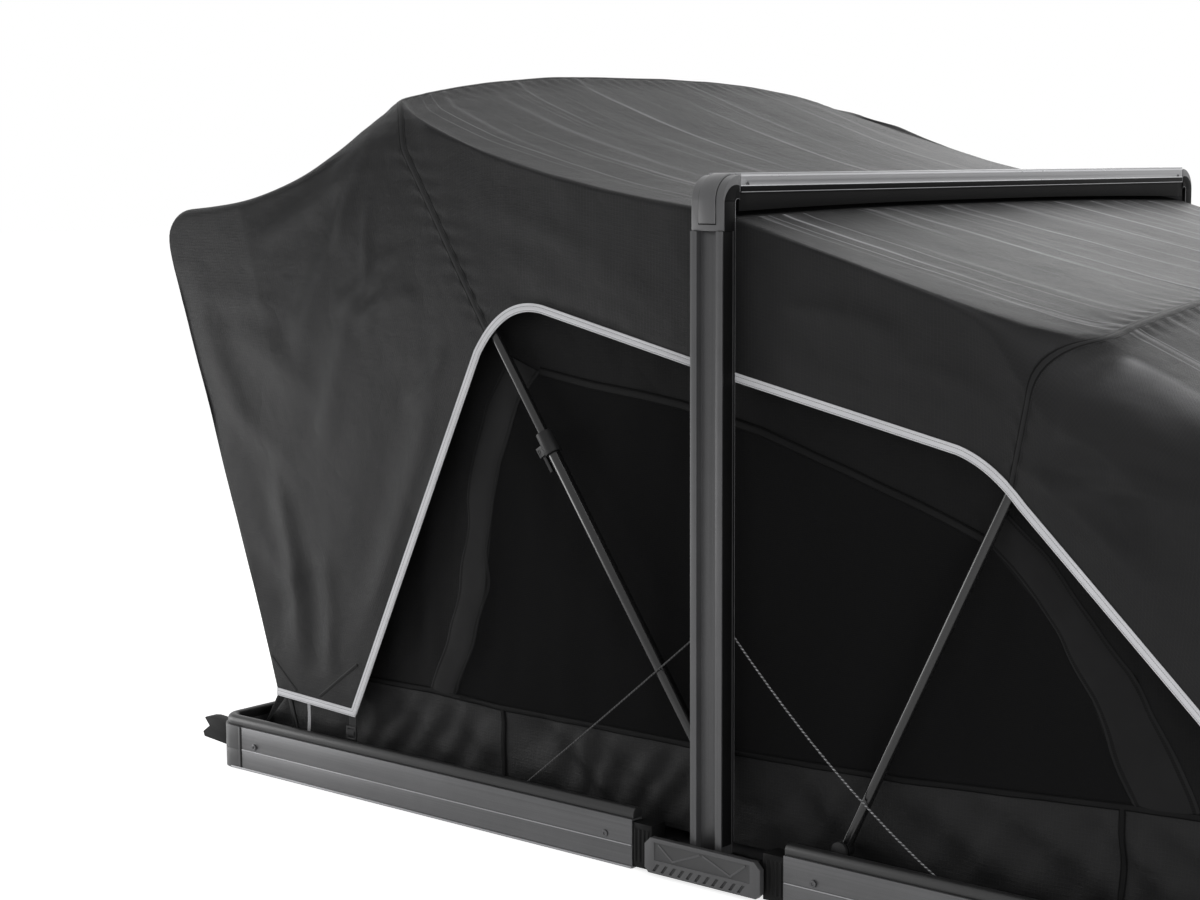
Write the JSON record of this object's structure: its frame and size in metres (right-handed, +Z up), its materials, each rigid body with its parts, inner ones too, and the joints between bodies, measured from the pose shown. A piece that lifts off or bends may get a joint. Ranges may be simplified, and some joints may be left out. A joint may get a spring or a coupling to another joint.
{
  "type": "roof top tent",
  "caption": "Book-fold roof top tent, open: hinged aluminium trays with a rigid hoop on the spine, folding bows, rain fly and inner tent, for sleeping on a vehicle's roof.",
  "frame": {"origin": "ground under the hoop, in the middle of the tent", "axes": "+X along the open tent towards the flip tray, +Y across it, +Z up; the base tray is at negative X"},
  "size_m": [2.69, 1.624, 1.343],
  "materials": {
    "floor_panel": "laminate-faced sandwich panel",
    "foam_pad": "woven cover over foam",
    "fly_cloth": "coated polyester",
    "inner_cloth": "polycotton and mesh",
    "edge_binding": "reflective tape",
    "cord": "braided elastic",
    "webbing": "webbing with buckle",
    "seal_rubber": "matt",
    "moulded_plastic": "moulded, fine grain",
    "spring_rod": "glass fibre rod",
    "steel_hardware": "zinc plated",
    "bow_tube": "dark anodised tube",
    "light_aluminium": "satin anodised",
    "dark_aluminium": "satin dark anodised"
  },
  "bodies": {
    "base": {"base_floor": "floor_panel", "mounting_channels": "dark_aluminium", "base_rail_near": "dark_aluminium", "base_rail_far": "dark_aluminium", "base_end_rail": "dark_aluminium", "base_corner_near": "moulded_plastic", "base_corner_far": "moulded_plastic", "base_rim_seal": "seal_rubber", "base_hinge_block_near": "moulded_plastic", "base_hinge_block_far": "moulded_plastic", "end_bracket": "moulded_plastic", "base_mattress": "foam_pad", "base_screws": "steel_hardware", "base_anchors": "moulded_plastic", "eave_rod_door": "spring_rod", "fly_door_half": "fly_cloth", "binding_door_half": "edge_binding", "inner_door_half": "inner_cloth", "cords_base": "cord", "straps_base": "webbing"},
    "spine": {"spine_floor": "floor_panel", "spine_mattress": "foam_pad", "hinge_plate_near": "dark_aluminium", "hinge_plate_far": "dark_aluminium", "hinge_pins": "steel_hardware", "hoop_upright_near": "dark_aluminium", "hoop_upright_far": "dark_aluminium", "hoop_elbow_near": "moulded_plastic", "hoop_elbow_far": "moulded_plastic", "hoop_crossbar": "light_aluminium", "hoop_seals": "seal_rubber", "hoop_screws": "steel_hardware", "bow_pivots": "moulded_plastic"},
    "flip": {"flip_floor": "floor_panel", "flip_rail_near": "dark_aluminium", "flip_rail_far": "dark_aluminium", "flip_end_rail": "dark_aluminium", "flip_corner_near": "moulded_plastic", "flip_corner_far": "moulded_plastic", "flip_rim_seal": "seal_rubber", "flip_hinge_block_near": "moulded_plastic", "flip_hinge_block_far": "moulded_plastic", "flip_mattress": "foam_pad", "flip_screws": "steel_hardware", "flip_anchors": "moulded_plastic", "front_feet": "moulded_plastic", "eave_rod_head": "spring_rod", "fly_head_half": "fly_cloth", "binding_head_half": "edge_binding", "inner_head_half": "inner_cloth", "cords_flip": "cord", "straps_flip": "webbing"},
    "main_legs": {"main_leg_near": "bow_tube", "main_leg_far": "bow_tube", "clamp_collars": "moulded_plastic"},
    "main_arch": {"main_bow": "bow_tube"},
    "lever_near": {"clamp_lever_near": "moulded_plastic"},
    "lever_far": {"clamp_lever_far": "moulded_plastic"},
    "front_arch": {"front_bow": "bow_tube"}
  },
  "joints": [
    {"name": "spine_fold", "type": "hinge", "parent": "base", "child": "spine", "pos_m": [-0.094, 0, 0.041], "axis": [0, -1, 0], "range_deg": [0, 90], "deforming": ["eave_rod_door", "fly_door_half", "binding_door_half", "inner_door_half", "cords_base", "straps_base"]},
    {"name": "flip_fold", "type": "hinge", "parent": "spine", "child": "flip", "pos_m": [0.094, 0, 0.041], "axis": [0, -1, 0], "range_deg": [0, 90], "deforming": ["eave_rod_head", "fly_head_half", "binding_head_half", "inner_head_half", "cords_flip", "straps_flip"]},
    {"name": "main_bow_fold", "type": "hinge", "parent": "spine", "child": "main_legs", "pos_m": [0, 0, 0.14], "axis": [0, -1, 0], "range_deg": [-34.4, 0]},
    {"name": "main_bow_slide", "type": "slide", "parent": "main_legs", "child": "main_arch", "axis": [-0.565, 0, 0.8251], "range_m": [-0.455, 0]},
    {"name": "front_bow_fold", "type": "hinge", "parent": "flip", "child": "front_arch", "pos_m": [0.238, 0, 0.1], "axis": [0, -1, 0], "range_deg": [-64.1, 0]},
    {"name": "clamp_lever_near_turn", "type": "hinge", "parent": "main_legs", "child": "lever_near", "pos_m": [-0.39025, -0.75, 0.67632], "axis": [0, 1, 0], "range_deg": [0, 105]},
    {"name": "clamp_lever_far_turn", "type": "hinge", "parent": "main_legs", "child": "lever_far", "pos_m": [-0.39025, 0.75, 0.67632], "axis": [0, 1, 0], "range_deg": [0, 105]}
  ],
  "couplings": [
    {"joint": "flip_fold", "follows": "spine_fold", "ratio": 1},
    {"joint": "main_bow_fold", "follows": "spine_fold", "ratio": -0.38222},
    {"joint": "main_bow_slide", "follows": "spine_fold", "m_per_rad": -0.28966},
    {"joint": "front_bow_fold", "follows": "spine_fold", "ratio": -0.71222}
  ]
}
